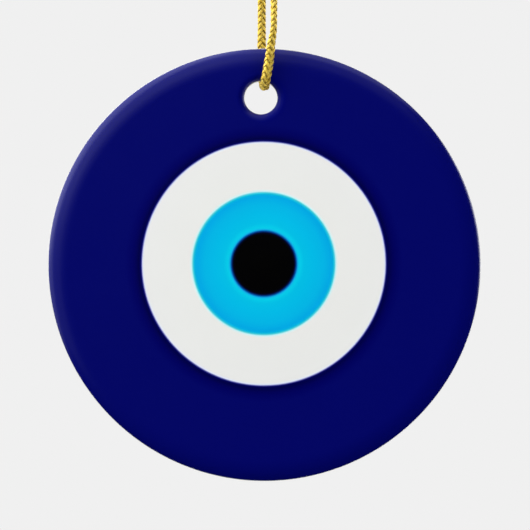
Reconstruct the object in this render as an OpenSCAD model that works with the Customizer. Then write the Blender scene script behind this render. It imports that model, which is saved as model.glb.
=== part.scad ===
// Evil eye ornament: a printed, glazed ceramic disc hung by a loop of gold braided cord.
// The origin is in the crotch of the loop under the knot, where a hook bears.
// +Z is up and the front of the disc faces -Y.

/* [Disc] */
// Diameter of the disc
disc_d = 73; // [66:1:80]
// Thickness of the disc
disc_t = 4; // [3.6:0.1:4.4]
// Width of the rounded edge, seen from the front
edge_w = 3.4; // [2.4:0.1:3.8]
// Width of the bare ceramic band round the rim
rim_band = 1; // [0.6:0.1:1.4]

/* [Hanging hole] */
// Diameter of the bore
bore_d = 5.6; // [5.4:0.1:6]
// Height of the bore's axis above the disc's centre
bore_up = 28.2; // [27:0.2:28.6]
// How far the bore's axis lies to the left of the disc's centre
bore_left = 0.6; // [0:0.1:0.8]
// Width of the rounded lip round the bore, seen from the front
lip_w = 1.3; // [1:0.1:1.4]
// Depth of the rounded lip
lip_d = 1.2; // [1:0.1:1.3]

/* [Print] */
// Thickness of the fired colour coat
coat_t = 0.15; // [0.1:0.05:0.2]
// Diameter of the white ring
white_d = 41.3; // [36:0.1:44]
// Diameter of the light blue ring
light_blue_d = 24.1; // [20:0.1:30]
// Diameter of the black pupil
pupil_d = 11; // [8:0.1:16]
// How far the print sits to the left of the disc's centre
print_left = 0.1; // [0:0.1:0.5]
// How far the print sits above the disc's centre
print_up = 0.2; // [0:0.1:0.5]

/* [Cord] */
// Width of the braided cord
cord_d = 1.4; // [1.2:0.1:1.4]
// Gap between the cord and the top of the bore
cord_gap = 0.15; // [0.1:0.05:0.3]
// Diameter of the knot
knot_d = 4.6; // [4:0.1:5]
// Height of the knot
knot_h = 5; // [4:0.1:5]

/* [Hidden] */
$fn = 180;

// The cord's centre line: down the front strand, through the bore, up the back strand.
cord_route = [
    [0, -0.8, 1.5],
    [0, -0.8, 0.5],
    [0.1, -1.2, -1.5],
    [0.3, -2, -4],
    [0.7, -2.8, -7.5],
    [1.1, -3.2, -12],
    [1.4, -3.3, -18],
    [1.6, -3.3, -24],
    [1.6, -3.3, -30],
    [1.6, -3.3, -34],
    [1.6, -3.3, -38],
    [1.6, -3.3, -44],
    [1.6, -3.3, -50],
    [1.55, -3.3, -52.5],
    [1.15, -3.3, -55],
    [0.85, -3.3, -57.3],
    [0.5, -3.3, -59.5],
    [0.25, -3, -60.7],
    [0.1, -2.1, -61.6],
    [0, -0.8, -62],
    [0, 0.8, -62],
    [-0.1, 2.1, -61.6],
    [-0.2, 3, -60.7],
    [-0.3, 3.3, -59.5],
    [-0.45, 3.3, -56],
    [-0.45, 3.3, -50],
    [-0.45, 3.3, -44],
    [-0.45, 3.3, -38],
    [-0.45, 3.3, -34],
    [-0.45, 3.3, -30],
    [-0.45, 3.3, -24],
    [-0.35, 3.3, -18],
    [-0.2, 3.2, -12],
    [-0.1, 2.8, -7.5],
    [0, 2, -4],
    [0, 1.2, -1.5],
    [0, 0.8, 0.5],
    [0, 0.8, 1.5]
];
// Places in the route where the lower stretch begins and ends.
front_split = 9;
back_split = 28;

// The left tail's centre line, from the knot's top; the right one is its mirror image.
tail_route = [
    [-0.8, 0, 6.5],
    [-0.8, 0, 7.4],
    [-1.3, -0.1, 8.8],
    [-2.7, -0.3, 9.8],
    [-4.3, -0.5, 9.4],
    [-5.3, -0.6, 8],
    [-5.6, -0.6, 6.4]
];

cord_sides = 8;
rings_per_step = 2;
bight_z = -62;
knot_z = 1.5;
knot_end_d = 3.6;

disc_r = disc_d / 2;
face_h = disc_t / 2;
bore_r = bore_d / 2;
edge_r = disc_r - edge_w;
edge_h = face_h - rim_band / 2;
lip_r = bore_r + lip_w;
coat_end = 80;
curve_steps = 10;

// The bore hangs on the cord, and the disc's centre is straight below the cord.
contact_r = bore_r - cord_d / 2 - cord_gap;
bore_x = -bore_left;
bore_z = bight_z - sqrt(contact_r * contact_r - bore_left * bore_left);
disc_z = bore_z - bore_up;

// A point on the rounded edge, [radius, height], 0 at the face and 90 at the rim.
function edge_point(a, inset = 0) =
    [edge_r + (edge_w - inset) * sin(a), rim_band / 2 + (edge_h - inset) * cos(a)];
// A point on the bore's lip, 0 at the face and 90 at the bore.
function lip_point(a, inset = 0) =
    [lip_r - (lip_w - inset) * sin(a), face_h - lip_d + (lip_d - inset) * cos(a)];
function coated_angles() = [for (i = [0:curve_steps]) coat_end * i / curve_steps];
function bare_angles() = [coat_end, (coat_end + 90) / 2, 90];
function upside_down(points) = [for (i = [len(points) - 1:-1:0]) [points[i][0], -points[i][1]]];
function turned_back(points) = [for (i = [len(points) - 1:-1:0]) points[i]];

// A smooth curve through the route's points: the place at t of the way from point i.
function route_at(p, i) = p[max(0, min(len(p) - 1, i))];
function spline(p, i, t) =
    let (a = route_at(p, i - 1), b = route_at(p, i), c = route_at(p, i + 1), d = route_at(p, i + 2))
    (2 * b + (c - a) * t + (2 * a - 5 * b + 4 * c - d) * t * t
        + (3 * b - a - 3 * c + d) * t * t * t) / 2;
function spline_way(p, i, t) =
    let (a = route_at(p, i - 1), b = route_at(p, i), c = route_at(p, i + 1), d = route_at(p, i + 2))
    (c - a) + 2 * (2 * a - 5 * b + 4 * c - d) * t + 3 * (3 * b - a - 3 * c + d) * t * t;
function unit(v) = v / norm(v);

// A tube of round section along a route, from one of its points to another.
// across is a direction that the route never runs in.
module tube(p, first, last, across = [1, 0, 0]) {
    stops = [for (i = [first:last - 1], s = [0:rings_per_step - 1]) [i, s / rings_per_step]];
    ends = concat(stops, [[last - 1, 1]]);
    ring = [for (k = [0:cord_sides - 1]) 360 * (k + 0.5) / cord_sides];
    points = [
        for (e = ends)
            let (
                centre = spline(p, e[0], e[1]),
                way = unit(spline_way(p, e[0], e[1])),
                side = unit(cross(way, across)),
                up = cross(way, side)
            )
            for (a = ring) centre + cord_d / 2 * (cos(a) * up + sin(a) * side)
    ];
    faces = [
        for (i = [0:len(ends) - 2], k = [0:cord_sides - 1])
            let (a = i * cord_sides, b = (k + 1) % cord_sides)
            [a + k, a + b, a + cord_sides + b, a + cord_sides + k]
    ];
    near_end = [[for (k = [cord_sides - 1:-1:0]) k]];
    far_end = [[for (k = [0:cord_sides - 1]) (len(ends) - 1) * cord_sides + k]];
    polyhedron(points, concat(faces, near_end, far_end), convexity = 8);
}

// Places its children on the disc's, the bore's or the print's axis, with +Z turned to face -Y.
module on_axis(x, z) {
    translate([x, 0, z]) rotate([90, 0, 0]) children();
}
module on_disc() { on_axis(0, disc_z) children(); }
module on_bore() { on_axis(bore_x, bore_z) children(); }
module on_print() { on_axis(-print_left, disc_z + print_up) children(); }

// The same shape on the front, or turned round for the back.
module on_side(front) {
    if (front) children();
    else mirror([0, 1, 0]) children();
}

// The ceramic's section: its coated faces lie one coat deeper than its bare rim.
module ceramic_section() {
    upper = concat(
        [[0, face_h - coat_t]],
        [for (a = coated_angles()) edge_point(a, coat_t)],
        [for (a = bare_angles()) edge_point(a)]
    );
    polygon(concat(upper, upside_down(upper)));
}

// What the bore and its two lips take out of the ceramic.
module bore_section() {
    upper = concat(
        [[0, disc_t], [lip_r, disc_t]],
        [for (a = coated_angles()) lip_point(a, coat_t)],
        [for (a = bare_angles()) lip_point(a)]
    );
    polygon(concat(upper, upside_down(upper)));
}

// The navy coat's section over the face and the rounded edge.
module field_section() {
    outside = [for (a = coated_angles()) edge_point(a)];
    inside = [for (a = coated_angles()) edge_point(a, coat_t)];
    polygon(concat([[0, face_h - coat_t], [0, face_h]], outside, turned_back(inside)));
}

// The navy coat's section over the bore's lip.
module lip_section() {
    outside = [for (a = coated_angles()) lip_point(a)];
    inside = [for (a = coated_angles()) lip_point(a, coat_t)];
    polygon(concat(outside, turned_back(inside)));
}

// A flat coat between two circles, flush with the face.
module flat_coat(outer_d, inner_d) {
    on_print() translate([0, 0, face_h - coat_t]) difference() {
        cylinder(d = outer_d, h = coat_t);
        if (inner_d > 0) translate([0, 0, -coat_t]) cylinder(d = inner_d, h = 3 * coat_t);
    }
}

module navy_coat() {
    difference() {
        on_disc() rotate_extrude() field_section();
        on_print() cylinder(d = white_d, h = disc_t);
        on_bore() cylinder(r = lip_r, h = disc_t);
    }
    on_bore() rotate_extrude() lip_section();
}

module ceramic_disc() {
    color("whitesmoke") difference() {
        on_disc() rotate_extrude() ceramic_section();
        on_bore() rotate_extrude() bore_section();
    }
}

module navy_field(front) {
    color([0.01, 0.02, 0.39]) on_side(front) navy_coat();
}

module white_ring(front) {
    color([0.91, 0.91, 0.9]) on_side(front) flat_coat(white_d, light_blue_d);
}

module light_blue_ring(front) {
    color([0, 0.73, 0.9]) on_side(front) flat_coat(light_blue_d, pupil_d);
}

module pupil(front) {
    color([0.01, 0.01, 0.01]) on_side(front) flat_coat(pupil_d, 0);
}

module cord_stretch(first, last) {
    color([0.85, 0.7, 0.25]) tube(cord_route, first, last);
}

// The knot's outer shape: a barrel with flat ends, on which the strands and the tails meet.
module cord_knot() {
    bulge = (knot_d - knot_end_d) / 2;
    side = [
        for (i = [0:curve_steps])
            [knot_end_d / 2 + bulge * sin(180 * i / curve_steps), knot_h * i / curve_steps]
    ];
    color([0.8, 0.65, 0.2]) translate([0, 0, knot_z])
        rotate_extrude() polygon(concat([[0, 0]], side, [[0, knot_h]]));
}

module cord_tail() {
    color([0.85, 0.7, 0.25]) translate([0, 0, knot_z + knot_h - tail_route[0][2]])
        tube(tail_route, 0, len(tail_route) - 1, [0, 1, 0]);
}

ceramic_disc();
navy_field(true);  // front_navy_field
white_ring(true);  // front_white_ring
light_blue_ring(true);  // front_light_blue_ring
pupil(true);  // front_pupil
navy_field(false);  // back_navy_field
white_ring(false);  // back_white_ring
light_blue_ring(false);  // back_light_blue_ring
pupil(false);  // back_pupil
cord_stretch(0, front_split);  // cord_front_strand
cord_stretch(back_split, len(cord_route) - 1);  // cord_back_strand
cord_stretch(front_split, back_split);  // cord_bight
cord_knot();
cord_tail();  // cord_tail_left
mirror([1, 0, 0]) cord_tail();  // cord_tail_right
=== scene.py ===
import math
import random

import bmesh
import bpy
import numpy as np
from mathutils import Matrix, Vector


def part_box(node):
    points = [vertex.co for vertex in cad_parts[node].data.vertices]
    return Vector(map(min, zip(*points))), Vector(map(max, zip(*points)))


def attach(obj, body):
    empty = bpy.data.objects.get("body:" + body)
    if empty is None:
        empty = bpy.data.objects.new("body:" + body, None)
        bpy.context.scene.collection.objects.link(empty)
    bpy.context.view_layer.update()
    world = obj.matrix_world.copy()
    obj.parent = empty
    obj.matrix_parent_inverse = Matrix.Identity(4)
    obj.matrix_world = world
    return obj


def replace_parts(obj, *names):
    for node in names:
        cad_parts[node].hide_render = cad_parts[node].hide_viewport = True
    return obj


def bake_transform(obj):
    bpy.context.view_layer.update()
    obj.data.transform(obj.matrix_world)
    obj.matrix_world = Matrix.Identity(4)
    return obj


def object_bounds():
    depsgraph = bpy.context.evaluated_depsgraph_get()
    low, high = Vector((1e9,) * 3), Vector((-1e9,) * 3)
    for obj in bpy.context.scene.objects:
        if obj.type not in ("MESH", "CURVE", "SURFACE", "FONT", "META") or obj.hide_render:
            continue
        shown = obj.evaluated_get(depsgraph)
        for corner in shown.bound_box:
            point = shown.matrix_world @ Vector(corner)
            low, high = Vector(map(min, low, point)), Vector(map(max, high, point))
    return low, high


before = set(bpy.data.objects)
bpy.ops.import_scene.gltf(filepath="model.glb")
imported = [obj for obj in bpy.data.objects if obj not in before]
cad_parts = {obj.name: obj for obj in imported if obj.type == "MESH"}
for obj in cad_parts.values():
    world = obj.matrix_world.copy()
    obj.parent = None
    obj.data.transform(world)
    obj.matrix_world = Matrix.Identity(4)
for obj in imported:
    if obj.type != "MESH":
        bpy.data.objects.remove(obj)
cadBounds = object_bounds()
scene = bpy.context.scene
random.seed(7)


# ---- the disc's places, read from the frame

discLow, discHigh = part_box("ceramic_disc")
whiteLow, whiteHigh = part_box("front_white_ring")
blueLow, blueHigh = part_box("front_light_blue_ring")
pupilLow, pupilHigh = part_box("front_pupil")

disc = {
    "centre": Vector((0, 0, (discLow.z + discHigh.z) / 2)),
    "radius": (discHigh.z - discLow.z) / 2,
    "halfThick": -whiteLow.y,
    "coat": whiteHigh.y - whiteLow.y,
    "edgeWidth": 0.0034,
    "halfBand": 0.0005,
    "boreUp": 0.0282,
    "boreLeft": 0.0006,
    "boreRadius": 0.0028,
    "lipWidth": 0.0013,
    "lipDepth": 0.0012,
    "coatEnd": 80,
    "curveSteps": 16,
    "support": 0.0003,
    "rimSides": 288,
    "boreSides": 96,
}
disc["bore"] = disc["centre"] + Vector((-disc["boreLeft"], 0, disc["boreUp"]))
disc["edgeRadius"] = disc["radius"] - disc["edgeWidth"]
disc["edgeHeight"] = disc["halfThick"] - disc["halfBand"]
disc["lipRadius"] = disc["boreRadius"] + disc["lipWidth"]

# The print is centred a hair off the blank, and the navy bleeds over the white ring's edge.
printed = {
    "centre": Vector(((whiteLow.x + whiteHigh.x) / 2, 0, (whiteLow.z + whiteHigh.z) / 2)),
    "whiteRadius": (whiteHigh.z - whiteLow.z) / 2,
    "blueRadius": (blueHigh.z - blueLow.z) / 2,
    "pupilRadius": (pupilHigh.z - pupilLow.z) / 2,
    "bleed": 0.00011,
    "sides": 288,
}


# ---- camera

cameraSettings = {
    "distance": 0.55,
    "seenWidth": 0.08956,
    "aimRight": 0.0001,
    "aimDown": 0.00003,
}


def makeCamera(settings):
    data = bpy.data.cameras.new("camera")
    data.sensor_width = 36
    data.lens = data.sensor_width * settings["distance"] / settings["seenWidth"]
    data.clip_start = 0.01
    data.clip_end = 20
    camera = bpy.data.objects.new("camera", data)
    aim = disc["centre"] + Vector((settings["aimRight"], 0, -settings["aimDown"]))
    camera.location = aim - Vector((0, settings["distance"], 0))
    camera.rotation_euler = (math.pi / 2, 0, 0)
    scene.collection.objects.link(camera)
    scene.camera = camera


makeCamera(cameraSettings)
print("camera set")


# ---- material helpers

def linear(*rgb):
    # a colour given as it looks, 0 to 255, turned into light
    shades = [c / 255 for c in rgb]
    return tuple(c / 12.92 if c <= 0.04045 else ((c + 0.055) / 1.055) ** 2.4 for c in shades) + (1.0,)


def newMaterial(name):
    material = bpy.data.materials.new(name)
    material.use_nodes = True
    nodes = material.node_tree.nodes
    return material, nodes, material.node_tree.links, nodes["Principled BSDF"]


def setUp(node, **values):
    for key, value in values.items():
        setattr(node, key, value)
    return node


def noise(nodes, links, where, scale, detail=3.0, roughness=0.5):
    texture = nodes.new("ShaderNodeTexNoise")
    texture.inputs["Scale"].default_value = scale
    texture.inputs["Detail"].default_value = detail
    texture.inputs["Roughness"].default_value = roughness
    links.new(where, texture.inputs["Vector"])
    return texture.outputs["Fac"]


def remap(nodes, links, value, fromLow, fromHigh, toLow, toHigh):
    node = nodes.new("ShaderNodeMapRange")
    limits = {"From Min": fromLow, "From Max": fromHigh, "To Min": toLow, "To Max": toHigh}
    for name, number in limits.items():
        node.inputs[name].default_value = number
    links.new(value, node.inputs["Value"])
    return node.outputs["Result"]


def bump(nodes, links, height, distance, strength=1.0, under=None):
    node = nodes.new("ShaderNodeBump")
    node.inputs["Distance"].default_value = distance
    node.inputs["Strength"].default_value = strength
    links.new(height, node.inputs["Height"])
    if under is not None:
        links.new(under, node.inputs["Normal"])
    return node.outputs["Normal"]


def ramp(nodes, links, value, stops):
    # stops are (place from 0 to 1, colour)
    node = nodes.new("ShaderNodeValToRGB")
    points = node.color_ramp.elements
    points[0].position, points[0].color = stops[0]
    points[1].position, points[1].color = stops[-1]
    for place, colour in stops[1:-1]:
        points.new(place).color = colour
    links.new(value, node.inputs["Fac"])
    return node.outputs["Color"]


def mixColours(nodes, links, factor, first, second, how="MIX"):
    node = setUp(nodes.new("ShaderNodeMix"), data_type="RGBA", blend_type=how)
    for socket, value in ((node.inputs[0], factor), (node.inputs[6], first), (node.inputs[7], second)):
        if isinstance(value, (int, float, tuple)):
            socket.default_value = value
        else:
            links.new(value, socket)
    return node.outputs[2]


def distanceFrom(nodes, links, where, centre):
    # how far a point is from an axis that runs through the disc
    move = nodes.new("ShaderNodeMapping")
    move.inputs["Location"].default_value = (-centre.x, 0, -centre.z)
    move.inputs["Scale"].default_value = (1, 0, 1)
    links.new(where, move.inputs["Vector"])
    size = setUp(nodes.new("ShaderNodeVectorMath"), operation="LENGTH")
    links.new(move.outputs["Vector"], size.inputs[0])
    return size.outputs["Value"]


# ---- the gold cord

# the route of the loop: down the front strand, through the bore, up the back strand
loopRoute = [
    (0, -0.0008, 0.0015),
    (0, -0.0008, 0.0005),
    (0.0001, -0.0012, -0.0015),
    (0.0003, -0.002, -0.004),
    (0.0007, -0.0028, -0.0075),
    (0.0011, -0.0032, -0.012),
    (0.0014, -0.0033, -0.018),
    (0.0016, -0.0033, -0.024),
    (0.0016, -0.0033, -0.03),
    (0.0016, -0.0033, -0.034),
    (0.0016, -0.0033, -0.038),
    (0.0016, -0.0033, -0.044),
    (0.0016, -0.0033, -0.05),
    (0.00155, -0.0033, -0.0525),
    (0.00115, -0.0033, -0.055),
    (0.00085, -0.0033, -0.0573),
    (0.0005, -0.0033, -0.0595),
    (0.00025, -0.003, -0.0607),
    (0.0001, -0.0021, -0.0616),
    (0, -0.0008, -0.062),
    (0, 0.0008, -0.062),
    (-0.0001, 0.0021, -0.0616),
    (-0.0002, 0.003, -0.0607),
    (-0.0003, 0.0033, -0.0595),
    (-0.00045, 0.0033, -0.056),
    (-0.00045, 0.0033, -0.05),
    (-0.00045, 0.0033, -0.044),
    (-0.00045, 0.0033, -0.038),
    (-0.00045, 0.0033, -0.034),
    (-0.00045, 0.0033, -0.03),
    (-0.00045, 0.0033, -0.024),
    (-0.00035, 0.0033, -0.018),
    (-0.0002, 0.0032, -0.012),
    (-0.0001, 0.0028, -0.0075),
    (0, 0.002, -0.004),
    (0, 0.0012, -0.0015),
    (0, 0.0008, 0.0005),
    (0, 0.0008, 0.0015),
]

# the left tail's route, from the top of the knot; the right one mirrors it
tailRoute = [
    (-0.0008, 0, 0.0065),
    (-0.0008, 0, 0.0074),
    (-0.0013, -0.0001, 0.0088),
    (-0.0027, -0.0003, 0.0098),
    (-0.0043, -0.0005, 0.0094),
    (-0.0053, -0.0006, 0.008),
    (-0.0056, -0.0006, 0.0064),
]

knotSettings = {
    "bottom": 0.0015,
    "top": 0.0065,
    "turns": 1.25,
    "steps": 22,
    "inner": 0.0008,
    "outer": 0.00155,
    "bulge": 0.00012,
}

braid = {
    "width": 0.0014,
    "lead": 0.00424,
    "carriers": 4,
    "wideRadius": 0.00059,
    "thinRadius": 0.00033,
    "wave": 0.00013,
    "yarnWide": 0.0003,
    "yarnThick": 0.00013,
    "yarnSides": 8,
    "step": 0.00016,
    "filler": 0.00008,
    "sealed": 0.0008,
    "sealedSize": 0.62,
    "beadWide": 0.0006,
    "beadThick": 0.00045,
}


def smoothStep(t):
    t = np.clip(t, 0, 1)
    return t * t * (3 - 2 * t)


def splinePoints(points, step):
    # the same smooth curve through the points as the CAD tube, sampled evenly
    p = np.array([points[0], *points, points[-1]], float)
    t = np.linspace(0, 1, 24, endpoint=False)[:, None]
    pieces = []
    for a, b, c, d in zip(p, p[1:], p[2:], p[3:]):
        pieces.append((2 * b + (c - a) * t + (2 * a - 5 * b + 4 * c - d) * t ** 2
                       + (3 * b - a - 3 * c + d) * t ** 3) / 2)
    line = np.vstack([*pieces, p[-1:]])
    along = np.concatenate([[0], np.cumsum(np.linalg.norm(np.diff(line, axis=0), axis=1))])
    even = np.linspace(0, along[-1], int(along[-1] / step) + 1)
    return np.column_stack([np.interp(even, along, line[:, k]) for k in range(3)]), even


def knotTurns(startAngle, settings):
    # one strand's way up through the knot: out, round and in again
    made = []
    for i in range(1, settings["steps"]):
        t = i / settings["steps"]
        angle = startAngle + 2 * math.pi * settings["turns"] * float(smoothStep(t * 0.9 + 0.05))
        out = float(smoothStep(min(t, 1 - t) * 5))
        radius = settings["inner"] + (settings["outer"] - settings["inner"]) * out
        radius += settings["bulge"] * math.sin(math.pi * t)
        height = settings["bottom"] + (settings["top"] - settings["bottom"]) * t
        made.append((radius * math.cos(angle), radius * math.sin(angle), height))
    return made


def cordRoute():
    mirrored = [(-x, y, z) for x, y, z in tailRoute]
    front = knotTurns(-math.pi / 2, knotSettings)
    back = knotTurns(math.pi / 2, knotSettings)
    return mirrored[::-1] + front[::-1] + loopRoute + back + tailRoute


def carriedFrames(points):
    # two directions across the line, carried along it without turning
    way = np.gradient(points, axis=0)
    way /= np.linalg.norm(way, axis=1)[:, None]
    middle = len(points) // 2
    wide = np.zeros_like(points)
    wide[middle] = (1, 0, 0)
    for order in (range(middle + 1, len(points)), range(middle - 1, -1, -1)):
        last = wide[middle]
        for i in order:
            last = last - way[i] * last.dot(way[i])
            last = last / np.linalg.norm(last)
            wide[i] = last
    wide -= way * (wide * way).sum(1)[:, None]
    wide /= np.linalg.norm(wide, axis=1)[:, None]
    return way, wide, np.cross(way, wide)


def flatBraidTwist(points, along, way, wide, thin):
    # how far the flat braid is turned at each place: flat over the bore's lips, edge on higher up the
    # front strand, a little turned up the back one, and flat against the knot
    middle = along[np.argmin(points[:, 2] + 10 * (points[:, 2] > 0))]
    away = along - middle
    front = 90 * smoothStep((-away - 0.0035) / 0.013) + 110 * smoothStep((-away - 0.02) / 0.035)
    back = 34 * smoothStep((away - 0.004) / 0.01) + 100 * smoothStep((away - 0.02) / 0.04)
    loose = np.radians(np.where(away < 0, -front, back))
    radial = points * (1, 1, 0)
    radial /= np.maximum(np.linalg.norm(radial, axis=1), 1e-9)[:, None]
    flat = np.cross(radial, way)
    wanted = np.unwrap(2 * np.arctan2((flat * thin).sum(1), (flat * wide).sum(1))) / 2
    inKnot = smoothStep((points[:, 2] + 0.002) / 0.0035) * smoothStep((0.0078 - points[:, 2]) / 0.0012)
    turned = loose.copy()
    for half in (away < 0, away >= 0):
        places = np.where(half & (inKnot > 0.99))[0]
        near = places[-1] if away[places[0]] < 0 else places[0]
        shift = math.pi * round((loose[near] - wanted[near]) / math.pi)
        turned[half] = loose[half] * (1 - inKnot[half]) + (wanted[half] + shift) * inKnot[half]
    return turned


def sweepYarn(bm, layers, centres, out, halfWide, halfThick, sides, colour, start=0):
    # a closed flattened yarn along its own line, with u round it and v along it in millimetres
    uvLayer, toneLayer = layers
    way = np.gradient(centres, axis=0)
    way /= np.linalg.norm(way, axis=1)[:, None]
    out = out - way * (out * way).sum(1)[:, None]
    out /= np.linalg.norm(out, axis=1)[:, None]
    across = np.cross(way, out)
    along = 1000 * np.concatenate([[0], np.cumsum(np.linalg.norm(np.diff(centres, axis=0), axis=1))])
    rings = []
    for i, centre in enumerate(centres):
        ring = []
        for k in range(sides):
            angle = 2 * math.pi * k / sides
            aside = across[i] * halfWide[i] * math.cos(angle)
            above = out[i] * halfThick[i] * math.sin(angle)
            ring.append(bm.verts.new(centre + aside + above))
        rings.append(ring)
    for i in range(len(rings) - 1):
        for k in range(sides):
            n = (k + 1) % sides
            face = bm.faces.new((rings[i][k], rings[i][n], rings[i + 1][n], rings[i + 1][k]))
            corners = ((k, i), (k + 1, i), (k + 1, i + 1), (k, i + 1))
            for loop, (u, v) in zip(face.loops, corners):
                loop[uvLayer].uv = (u / sides, along[v] + start)
            face[toneLayer] = colour
            face.smooth = True
    for ring in (rings[0][::-1], rings[-1]):
        face = bm.faces.new(ring)
        face[toneLayer] = colour


def makeCord():
    points, along = splinePoints(cordRoute(), braid["step"])
    way, wide, thin = carriedFrames(points)
    turn = flatBraidTwist(points, along, way, wide, thin)
    flat = wide * np.cos(turn)[:, None] + thin * np.sin(turn)[:, None]
    edge = np.cross(way, flat)
    # the cut ends are melted: the yarns draw in and run into a small bead
    fromEnd = np.minimum(along, along[-1] - along)
    melted = smoothStep(1 - fromEnd / braid["sealed"])
    drawn = 1 - (1 - braid["sealedSize"]) * melted
    bm = bmesh.new()
    layers = bm.loops.layers.uv.new("UVMap"), bm.faces.layers.float.new("yarnTone")
    quarter = 2 * math.pi / braid["carriers"]
    for direction in (1, -1):
        for carrier in range(braid["carriers"]):
            angle = direction * 2 * math.pi * along / braid["lead"] + quarter * carrier
            crossing = 8 * along / braid["lead"]
            rise = direction * np.cos(math.pi / 2 * (2 * carrier + direction * crossing - 0.5))
            outX, outY = np.cos(angle) / braid["wideRadius"], np.sin(angle) / braid["thinRadius"]
            size = np.hypot(outX, outY)
            normal = flat * (outX / size)[:, None] + edge * (outY / size)[:, None]
            lift = braid["wave"] * rise * (1 - melted)
            centre = (points
                      + flat * (braid["wideRadius"] * drawn * np.cos(angle))[:, None]
                      + edge * (braid["thinRadius"] * drawn * np.sin(angle))[:, None]
                      + normal * lift[:, None])
            sweepYarn(bm, layers, centre, normal, braid["yarnWide"] * drawn, braid["yarnThick"] * drawn,
                      braid["yarnSides"], random.random(), random.uniform(0, 5))
    # the filler inside the braid swells into the bead at either end
    last = len(points)
    inner = np.unique(np.r_[0:12, 12:last - 12:3, last - 12:last])
    toEnd, soft = fromEnd[inner], melted[inner]
    bead = np.sqrt(np.clip(1 - ((toEnd - 0.0004) / 0.00042) ** 2, 0.02, 1)) * (toEnd < braid["sealed"])
    fillWide = (braid["wideRadius"] - braid["filler"]) * (1 - soft) + braid["beadWide"] * bead * soft
    fillThick = (braid["thinRadius"] - braid["filler"]) * (1 - soft) + braid["beadThick"] * bead * soft
    sweepYarn(bm, layers, points[inner], edge[inner], fillWide, fillThick, 12, 0.1)
    mesh = bpy.data.meshes.new("goldCord")
    bmesh.ops.recalc_face_normals(bm, faces=bm.faces)
    bm.to_mesh(mesh)
    bm.free()
    cord = bpy.data.objects.new("goldCord", mesh)
    scene.collection.objects.link(cord)
    return cord, points[::4]


cord, cordPath = makeCord()


def goldYarn():
    material, nodes, links, shader = newMaterial("goldYarn")
    uv = nodes.new("ShaderNodeUVMap")
    uv.uv_map = "UVMap"
    tone = setUp(nodes.new("ShaderNodeAttribute"), attribute_name="yarnTone")
    # filaments run along the yarn: many fine lines round it
    stretch = nodes.new("ShaderNodeMapping")
    stretch.inputs["Scale"].default_value = (14, 1.2, 1)
    links.new(uv.outputs["UV"], stretch.inputs["Vector"])
    filaments = noise(nodes, links, stretch.outputs["Vector"], 1.0, 3.0)
    patches = nodes.new("ShaderNodeMapping")
    patches.inputs["Scale"].default_value = (1.5, 1.1, 1)
    links.new(uv.outputs["UV"], patches.inputs["Vector"])
    glints = noise(nodes, links, patches.outputs["Vector"], 1.6, 2.0)
    folds = noise(nodes, links, patches.outputs["Vector"], 4.4, 1.0)
    split = nodes.new("ShaderNodeSeparateXYZ")
    links.new(uv.outputs["UV"], split.inputs["Vector"])
    turns = setUp(nodes.new("ShaderNodeMath"), operation="MULTIPLY")
    turns.inputs[1].default_value = 2 * math.pi
    links.new(split.outputs["X"], turns.inputs[0])
    outward = setUp(nodes.new("ShaderNodeMath"), operation="SINE")
    links.new(turns.outputs["Value"], outward.inputs[0])
    shade = ramp(nodes, links, filaments, [
        (0.3, linear(188, 143, 22)),
        (0.42, linear(242, 197, 50)),
        (0.54, linear(255, 219, 80)),
        (0.66, linear(255, 244, 168)),
    ])
    tinted = mixColours(nodes, links, remap(nodes, links, glints, 0.35, 0.7, 0.0, 0.55), shade,
                        linear(255, 224, 98))
    darker = remap(nodes, links, tone.outputs["Fac"], 0, 1, 0.0, 0.22)
    toned = mixColours(nodes, links, darker, tinted, linear(176, 134, 30))
    # painted shade and painted highlight: the foil filaments fold, and the yarn colour is darkened in
    # patches standing for the creases and made paler in patches standing for folds that catch the light
    creaseShade = mixColours(nodes, links, remap(nodes, links, folds, 0.42, 0.3, 0.0, 0.6), toned,
                         linear(150, 104, 4))
    lit = mixColours(nodes, links, remap(nodes, links, folds, 0.54, 0.66, 0.0, 0.6), creaseShade,
                     linear(255, 238, 132))
    # painted shade: the sides of each yarn, where it sinks between its neighbours, are darkened towards
    # a deep olive gold
    yarnSideShade = remap(nodes, links, outward.outputs["Value"], 0.0, 0.8, 0.84, 0.0)
    links.new(mixColours(nodes, links, yarnSideShade, lit, linear(118, 84, 2)), shader.inputs["Base Color"])
    shader.inputs["Specular Tint"].default_value = (1, 0.86, 0.45, 1)
    shader.inputs["Metallic"].default_value = 0.3
    links.new(remap(nodes, links, filaments, 0.3, 0.7, 0.44, 0.26), shader.inputs["Roughness"])
    links.new(bump(nodes, links, filaments, 0.00006, 0.8), shader.inputs["Normal"])
    return material


cord.data.materials.append(goldYarn())
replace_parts(cord, "cord_front_strand", "cord_back_strand", "cord_bight", "cord_knot",
            "cord_tail_left", "cord_tail_right")
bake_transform(cord)


# ---- the ceramic blank and its coat, built from rings on the disc's and the bore's axes

def ringOf(bm, centre, radius, height, sides):
    turned = Matrix.Translation((centre.x, height, centre.z)) @ Matrix.Rotation(math.pi / 2, 4, "X")
    made = bmesh.ops.create_circle(bm, cap_ends=False, radius=radius, segments=sides, matrix=turned)
    return list({edge for vert in made["verts"] for edge in vert.link_edges})


def growRing(bm, ring, centre, section):
    # runs a ring of edges through the section's (radius, height) places
    for (radius, height), (nextRadius, nextHeight) in zip(section, section[1:]):
        made = bmesh.ops.extrude_edge_only(bm, edges=ring)["geom"]
        verts = [part for part in made if isinstance(part, bmesh.types.BMVert)]
        fresh = set(verts)
        ring = [part for part in made
                if isinstance(part, bmesh.types.BMEdge) and set(part.verts) <= fresh]
        size = nextRadius / radius
        bmesh.ops.scale(bm, vec=(size, 1, size), space=Matrix.Translation(-centre), verts=verts)
        bmesh.ops.translate(bm, vec=(0, nextHeight - height, 0), verts=verts)
    return ring


def fillFlat(bm, *rings):
    bmesh.ops.triangle_fill(bm, use_beauty=True, edges=[edge for ring in rings for edge in ring])


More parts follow.
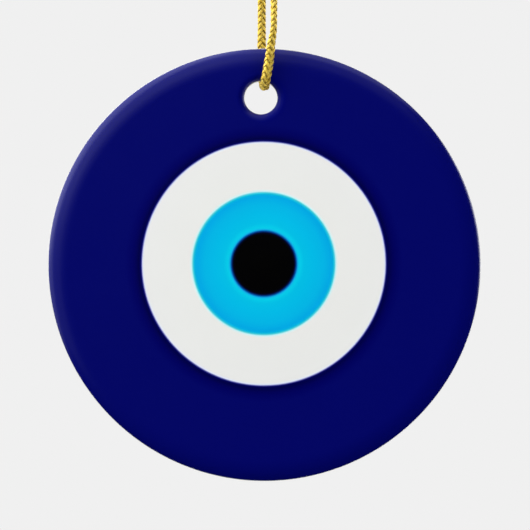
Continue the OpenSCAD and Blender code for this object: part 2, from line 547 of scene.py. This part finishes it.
def edgePlace(angle, inset=0.0):
    a = math.radians(angle)
    return (disc["edgeRadius"] + (disc["edgeWidth"] - inset) * math.sin(a),
            disc["halfBand"] + (disc["edgeHeight"] - inset) * math.cos(a))


def lipPlace(angle, inset=0.0):
    a = math.radians(angle)
    return (disc["lipRadius"] - (disc["lipWidth"] - inset) * math.sin(a),
            disc["halfThick"] - disc["lipDepth"] + (disc["lipDepth"] - inset) * math.cos(a))


def coatedAngles():
    return [disc["coatEnd"] * i / disc["curveSteps"] for i in range(disc["curveSteps"] + 1)]


def bareAngles():
    return [disc["coatEnd"] + (90 - disc["coatEnd"]) * i / 4 for i in range(5)]


def onSide(section, side):
    return [(radius, side * height) for radius, height in section]


def finishMesh(bm, name, material, body, sharp=32):
    bmesh.ops.remove_doubles(bm, verts=bm.verts, dist=1e-7)
    bmesh.ops.recalc_face_normals(bm, faces=bm.faces)
    for face in bm.faces:
        face.smooth = True
    for edge in bm.edges:
        if len(edge.link_faces) == 2 and edge.calc_face_angle() > math.radians(sharp):
            edge.smooth = False
    mesh = bpy.data.meshes.new(name)
    bm.to_mesh(mesh)
    bm.free()
    piece = bpy.data.objects.new(name, mesh)
    scene.collection.objects.link(piece)
    piece.data.materials.append(material)
    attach(piece, body)
    return piece


def makeBlank(material):
    # the white ceramic: coated faces one coat deep, bare rim band and bare bore wall
    depth = disc["halfThick"] - disc["coat"]
    rimHalf = [edgePlace(a, disc["coat"]) for a in coatedAngles()] + [edgePlace(a) for a in bareAngles()]
    lipHalf = [lipPlace(a, disc["coat"]) for a in coatedAngles()] + [lipPlace(a) for a in bareAngles()]
    outerStart = (disc["edgeRadius"] - disc["support"], depth)
    boreStart = (disc["lipRadius"] + disc["support"], depth)
    bm = bmesh.new()
    rimRing = ringOf(bm, disc["centre"], outerStart[0], -depth, disc["rimSides"])
    boreRing = ringOf(bm, disc["bore"], boreStart[0], -depth, disc["boreSides"])
    rimFront = onSide([outerStart] + rimHalf, -1)
    rimBack = onSide(([outerStart] + rimHalf)[::-1], 1)
    boreFront = onSide([boreStart] + lipHalf, -1)
    boreBack = onSide(([boreStart] + lipHalf)[::-1], 1)
    rimEnd = growRing(bm, rimRing, disc["centre"], rimFront + rimBack)
    boreEnd = growRing(bm, boreRing, disc["bore"], boreFront + boreBack)
    fillFlat(bm, rimRing, boreRing)
    fillFlat(bm, rimEnd, boreEnd)
    return finishMesh(bm, "ceramicBlank", material, "ornament")


def makeNavyCoat(name, side, material):
    depth = disc["halfThick"] - disc["coat"]
    outerStart = (disc["edgeRadius"] - disc["support"], disc["halfThick"])
    boreStart = (disc["lipRadius"] + disc["support"], disc["halfThick"])
    rim = [outerStart] + [edgePlace(a) for a in coatedAngles()]
    rim += [edgePlace(a, disc["coat"]) for a in coatedAngles()[::-1]] + [(outerStart[0], depth)]
    lip = [boreStart] + [lipPlace(a) for a in coatedAngles()]
    lip += [lipPlace(a, disc["coat"]) for a in coatedAngles()[::-1]] + [(boreStart[0], depth)]
    bm = bmesh.new()
    top = side * disc["halfThick"]
    rimRing = ringOf(bm, disc["centre"], outerStart[0], top, disc["rimSides"])
    boreRing = ringOf(bm, disc["bore"], boreStart[0], top, disc["boreSides"])
    whiteRing = ringOf(bm, printed["centre"], printed["whiteRadius"], top, printed["sides"])
    rimEnd = growRing(bm, rimRing, disc["centre"], onSide(rim, side))
    boreEnd = growRing(bm, boreRing, disc["bore"], onSide(lip, side))
    whiteWall = [(printed["whiteRadius"], disc["halfThick"]), (printed["whiteRadius"], depth)]
    whiteEnd = growRing(bm, whiteRing, printed["centre"], onSide(whiteWall, side))
    fillFlat(bm, rimRing, boreRing, whiteRing)
    fillFlat(bm, rimEnd, boreEnd, whiteEnd)
    return finishMesh(bm, name, material, "ornament")


def makeFlatCoat(name, side, outer, inner, material):
    # a flat printed ring, or the pupil where inner is 0
    top, under = side * disc["halfThick"], side * (disc["halfThick"] - disc["coat"])
    centre = printed["centre"]
    bm = bmesh.new()
    if inner:
        corners = ((inner, top), (outer, top), (outer, under), (inner, under))
        verts = [bm.verts.new((centre.x, height, centre.z + radius)) for radius, height in corners]
        edges = [bm.edges.new((verts[i], verts[i - 1])) for i in range(4)]
        bmesh.ops.spin(bm, geom=verts + edges, cent=centre, axis=(0, 1, 0), angle=2 * math.pi,
                       steps=printed["sides"], use_merge=True)
    else:
        ring = ringOf(bm, centre, outer, top, printed["sides"])
        end = growRing(bm, ring, centre, [(outer, top), (outer, under)])
        bmesh.ops.contextual_create(bm, geom=ring)
        bmesh.ops.contextual_create(bm, geom=end)
    return finishMesh(bm, name, material, "ornament")


# ---- ceramic and print materials

def glazeSurface(nodes, links, shader, rough, wave=0.5):
    # fired glaze: a slow waviness, a fine orange peel, and a roughness that drifts
    where = nodes.new("ShaderNodeTexCoord").outputs["Object"]
    slow = noise(nodes, links, where, 90, 1.0)
    fine = noise(nodes, links, where, 1800, 2.0)
    drift = noise(nodes, links, where, 160, 1.0)
    smooth = bump(nodes, links, slow, 0.00002, wave)
    links.new(bump(nodes, links, fine, 0.0000012, wave, smooth), shader.inputs["Normal"])
    roughness = remap(nodes, links, drift, 0.2, 0.8, rough * 0.93, rough * 1.03)
    links.new(roughness, shader.inputs["Roughness"])
    shader.inputs["Specular IOR Level"].default_value = 0.5
    return where


def whiteGlaze():
    material, nodes, links, shader = newMaterial("whiteGlaze")
    where = glazeSurface(nodes, links, shader, 0.2)
    pooled = noise(nodes, links, where, 260, 4.0)
    shade = ramp(nodes, links, pooled, [
        (0.3, linear(226, 224, 216)),
        (0.55, linear(238, 237, 231)),
        (0.8, linear(243, 243, 239)),
    ])
    specks = noise(nodes, links, where, 3400, 1.0)
    speckle = remap(nodes, links, specks, 0.74, 0.8, 0.0, 0.35)
    speckled = mixColours(nodes, links, speckle, shade, linear(170, 158, 138))
    links.new(speckled, shader.inputs["Base Color"])
    return material


def radialShade(nodes, links, where, centre, start, stops):
    # stops are (distance from the centre in millimetres, colour)
    far = stops[-1][0]
    away = distanceFrom(nodes, links, where, centre)
    reach = remap(nodes, links, away, start / 1000, far / 1000, 0, 1)
    return ramp(nodes, links, reach, [((mm - start) / (far - start), linear(*rgb)) for mm, rgb in stops])


def mottled(nodes, links, colour, where, amount):
    # the dye lies a little unevenly
    cloud = noise(nodes, links, where, 120, 1.0)
    light = remap(nodes, links, cloud, 0.1, 0.9, 0.0, amount)
    return mixColours(nodes, links, light, colour, (0, 0, 0, 1))


def thinned(nodes, links, colour, where):
    # the coat thins out and lets the white glaze through where it runs over the bore's lips and the rim
    toBore = distanceFrom(nodes, links, where, disc["bore"])
    bore = disc["boreRadius"]
    atLip = ramp(nodes, links, remap(nodes, links, toBore, bore, bore + 0.0006, 0, 1), [
        (0, linear(150, 150, 150)),
        (0.1, linear(70, 70, 70)),
        (0.3, linear(30, 30, 30)),
        (1, linear(0, 0, 0)),
    ])
    split = nodes.new("ShaderNodeSeparateXYZ")
    links.new(where, split.inputs["Vector"])
    height = setUp(nodes.new("ShaderNodeMath"), operation="ABSOLUTE")
    links.new(split.outputs["Y"], height.inputs[0])
    atRim = remap(nodes, links, height.outputs["Value"], 0.00074, 0.00092, 0.4, 0)
    colour = mixColours(nodes, links, atLip, colour, linear(206, 208, 240))
    return mixColours(nodes, links, atRim, colour, linear(206, 208, 240))


def dullLip(nodes, links, where):
    # fitted to the look: the coat is made drier over the bore's lip, most of all on its right side,
    # where the glint is weak
    toBore = distanceFrom(nodes, links, where, disc["bore"])
    nearLip = remap(nodes, links, toBore, disc["lipRadius"], disc["lipRadius"] + 0.0006, 1, 0)
    split = nodes.new("ShaderNodeSeparateXYZ")
    links.new(where, split.inputs["Vector"])
    left, right = disc["bore"].x - 0.0014, disc["bore"].x + 0.0014
    dull = remap(nodes, links, split.outputs["X"], left, right, 0.1, 0.85)
    both = setUp(nodes.new("ShaderNodeMath"), operation="MULTIPLY")
    links.new(nearLip, both.inputs[0])
    links.new(dull, both.inputs[1])
    return remap(nodes, links, both.outputs["Value"], 0, 1, 0.5, 0)


def navyPrint():
    material, nodes, links, shader = newMaterial("navyPrint")
    where = glazeSurface(nodes, links, shader, 0.26)
    edge = (printed["whiteRadius"] - printed["bleed"]) * 1000
    shade = radialShade(nodes, links, where, printed["centre"], edge - 0.2, [
        (edge - 0.2, (104, 108, 186)),
        (edge, (98, 102, 181)),
        (edge + 0.12, (14, 16, 112)),
        (edge + 0.26, (1, 1, 80)),
        (edge + 0.5, (0, 1, 67)),
        (edge + 0.85, (1, 1, 78)),
        (edge + 1.2, (1, 1, 87)),
        (edge + 1.75, (1, 2, 93)),
        (edge + 2.8, (3, 6, 99)),
        (edge + 6, (3, 6, 99)),
    ])
    shade = thinned(nodes, links, mottled(nodes, links, shade, where, 0.03), where)
    links.new(shade, shader.inputs["Base Color"])
    # fitted to the look: a bluish glint along the rim
    shader.inputs["Specular Tint"].default_value = (0.66, 0.68, 1, 1)
    links.new(dullLip(nodes, links, where), shader.inputs["Specular IOR Level"])
    return material


def whitePrint():
    material, nodes, links, shader = newMaterial("whitePrint")
    where = glazeSurface(nodes, links, shader, 0.26)
    inner, outer = printed["blueRadius"] * 1000, (printed["whiteRadius"] - printed["bleed"]) * 1000
    shade = radialShade(nodes, links, where, printed["centre"], inner - 0.2, [
        (inner - 0.2, (120, 222, 230)),
        (inner, (130, 225, 232)),
        (inner + 0.14, (201, 242, 244)),
        (inner + 0.3, (225, 235, 236)),
        (inner + 0.5, (232, 233, 230)),
        (outer - 0.4, (232, 233, 231)),
        (outer - 0.22, (226, 231, 241)),
        (outer - 0.1, (197, 202, 240)),
        (outer, (98, 102, 181)),
        (outer + 0.12, (14, 16, 112)),
    ])
    links.new(mottled(nodes, links, shade, where, 0.015), shader.inputs["Base Color"])
    return material


def lightBluePrint():
    material, nodes, links, shader = newMaterial("lightBluePrint")
    where = glazeSurface(nodes, links, shader, 0.26)
    inner, outer = printed["pupilRadius"] * 1000, printed["blueRadius"] * 1000
    shade = radialShade(nodes, links, where, printed["centre"], inner - 0.2, [
        (inner - 0.2, (3, 70, 148)),
        (inner, (4, 80, 160)),
        (inner + 0.1, (10, 122, 197)),
        (inner + 0.26, (15, 177, 233)),
        (inner + 0.43, (10, 198, 233)),
        (inner + 0.65, (4, 203, 232)),
        (inner + 1.3, (2, 190, 229)),
        (inner + 2.8, (1, 186, 230)),
        (inner + 4.5, (3, 181, 229)),
        (outer - 0.75, (1, 168, 228)),
        (outer - 0.5, (2, 172, 225)),
        (outer - 0.3, (11, 185, 219)),
        (outer - 0.14, (50, 200, 216)),
        (outer, (130, 225, 232)),
    ])
    links.new(mottled(nodes, links, shade, where, 0.03), shader.inputs["Base Color"])
    return material


def blackPrint():
    material, nodes, links, shader = newMaterial("blackPrint")
    where = glazeSurface(nodes, links, shader, 0.26)
    outer = printed["pupilRadius"] * 1000
    shade = radialShade(nodes, links, where, printed["centre"], 0, [
        (0, (0, 0, 0)),
        (outer - 0.7, (0, 0, 1)),
        (outer - 0.4, (0, 2, 17)),
        (outer - 0.24, (0, 9, 57)),
        (outer - 0.08, (1, 50, 124)),
        (outer, (4, 80, 160)),
    ])
    links.new(mottled(nodes, links, shade, where, 0.1), shader.inputs["Base Color"])
    return material


glaze, navy, white = whiteGlaze(), navyPrint(), whitePrint()
lightBlue, black = lightBluePrint(), blackPrint()

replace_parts(makeBlank(glaze), "ceramic_disc")
for side, face in ((-1, "front"), (1, "back")):
    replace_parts(makeNavyCoat(face + "Navy", side, navy), face + "_navy_field")
    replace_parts(makeFlatCoat(face + "White", side, printed["whiteRadius"], printed["blueRadius"],
                             white), face + "_white_ring")
    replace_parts(makeFlatCoat(face + "LightBlue", side, printed["blueRadius"], printed["pupilRadius"],
                             lightBlue), face + "_light_blue_ring")
    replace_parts(makeFlatCoat(face + "Pupil", side, printed["pupilRadius"], 0, black),
                face + "_pupil")
print("disc and print made")


# ---- studio

studio = {
    "air": 0.8714,
    "floorDrop": 0.5,
    "floorRadius": 1.3,
    "floorShade": (0.01, 0.01, 0.01, 1),
    "floorGlow": 0.858,
}

# soft light from all around, which only lights the surfaces and is not mirrored in them
fillSize = 0.9
fillLamps = {
    "fillUpperLeft": {"from": (-0.62, -0.12, 0.62), "power": 7.96},
    "fillTop": {"from": (0, -0.95, 0.7), "power": 2.87},
    "fillLeft": {"from": (-0.75, -0.9, 0.0), "power": 2.34},
    "fillRight": {"from": (0.9, -0.75, 0.0), "power": 3.89},
    "fillLow": {"from": (0.1, -0.7, -0.95), "power": 3.89},
    "fillLowRight": {"from": (0.75, -0.3, -0.75), "power": 1.86},
    "fillBackTop": {"from": (0, 0.85, 0.8), "power": 4.4},
    "fillBackLeft": {"from": (-0.8, 0.85, 0.05), "power": 4.4},
    "fillBackRight": {"from": (0.8, 0.85, 0.05), "power": 4.4},
    "fillBackLow": {"from": (0, 0.8, -0.8), "power": 4.4},
}

# the lamps that are mirrored in the glaze and the gold: the large ones are seen in the steep of the rim,
# and the fainter ones further in
keyLamps = {
    "keyLight": {"from": (-0.52, 0.03, 0.48), "size": 1.2, "power": 5.8},
    "keyTop": {"from": (0.14, 0, 0.7), "size": 0.9, "power": 1.89},
    "keyLeft": {"from": (-0.7, 0, 0.08), "size": 0.8, "power": 1.3},
    "keyMiddle": {"from": (-0.36, -0.4, 0.44), "size": 0.9, "power": 0.899},
    "keyMiddleTop": {"from": (0.1, -0.42, 0.5), "size": 0.6, "power": 0.232},
    "keyMiddleLeft": {"from": (-0.5, -0.42, 0.04), "size": 0.6, "power": 0.232},
    "keyInner": {"from": (-0.22, -0.6, 0.26), "size": 0.44, "power": 0.102},
    "sideLight": {"from": (0.65, 0.3, 0.15), "size": 0.5, "power": 2.03},
}


def makeLamp(name, place, size, power, mirrored):
    data = bpy.data.lights.new(name, "AREA")
    data.shape = "DISK"
    data.size = size
    data.energy = power
    data.cycles.use_multiple_importance_sampling = mirrored
    lamp = bpy.data.objects.new(name, data)
    lamp.location = disc["centre"] + Vector(place)
    lamp.rotation_mode = "QUATERNION"
    lamp.rotation_quaternion = (-Vector(place)).to_track_quat("-Z", "Y")
    lamp.visible_camera = False
    lamp.visible_glossy = mirrored
    scene.collection.objects.link(lamp)


def makeWorld(settings):
    world = bpy.data.worlds.new("studioAir")
    world.use_nodes = True
    air = world.node_tree.nodes["Background"]
    air.inputs["Color"].default_value = (1, 1, 1, 1)
    air.inputs["Strength"].default_value = settings["air"]
    world.cycles_visibility.glossy = False
    world.cycles_visibility.diffuse = False
    scene.world = world


def makeFloor(settings):
    bm = bmesh.new()
    low = cadBounds[0].z - settings["floorDrop"]
    bmesh.ops.create_circle(bm, cap_ends=True, radius=settings["floorRadius"], segments=96,
                            matrix=Matrix.Translation((0, 0, low)))
    mesh = bpy.data.meshes.new("studioFloor")
    bm.to_mesh(mesh)
    bm.free()
    floor = bpy.data.objects.new("studioFloor", mesh)
    scene.collection.objects.link(floor)
    material, nodes, links, shader = newMaterial("paperFloor")
    # mostly its own light, so that it runs into the pale air without an edge
    shader.inputs["Base Color"].default_value = settings["floorShade"]
    shader.inputs["Roughness"].default_value = 1
    shader.inputs["Specular IOR Level"].default_value = 0
    shader.inputs["Emission Color"].default_value = (1, 1, 1, 1)
    shader.inputs["Emission Strength"].default_value = settings["floorGlow"]
    mesh.materials.append(material)
    floor.visible_glossy = False
    floor.visible_diffuse = False
    floor.visible_shadow = False


scene.view_settings.view_transform = "Standard"
makeWorld(studio)
makeFloor(studio)
for name, lamp in fillLamps.items():
    makeLamp(name, lamp["from"], fillSize, lamp["power"], False)
for name, lamp in keyLamps.items():
    makeLamp(name, lamp["from"], lamp["size"], lamp["power"], True)
print("studio lit")
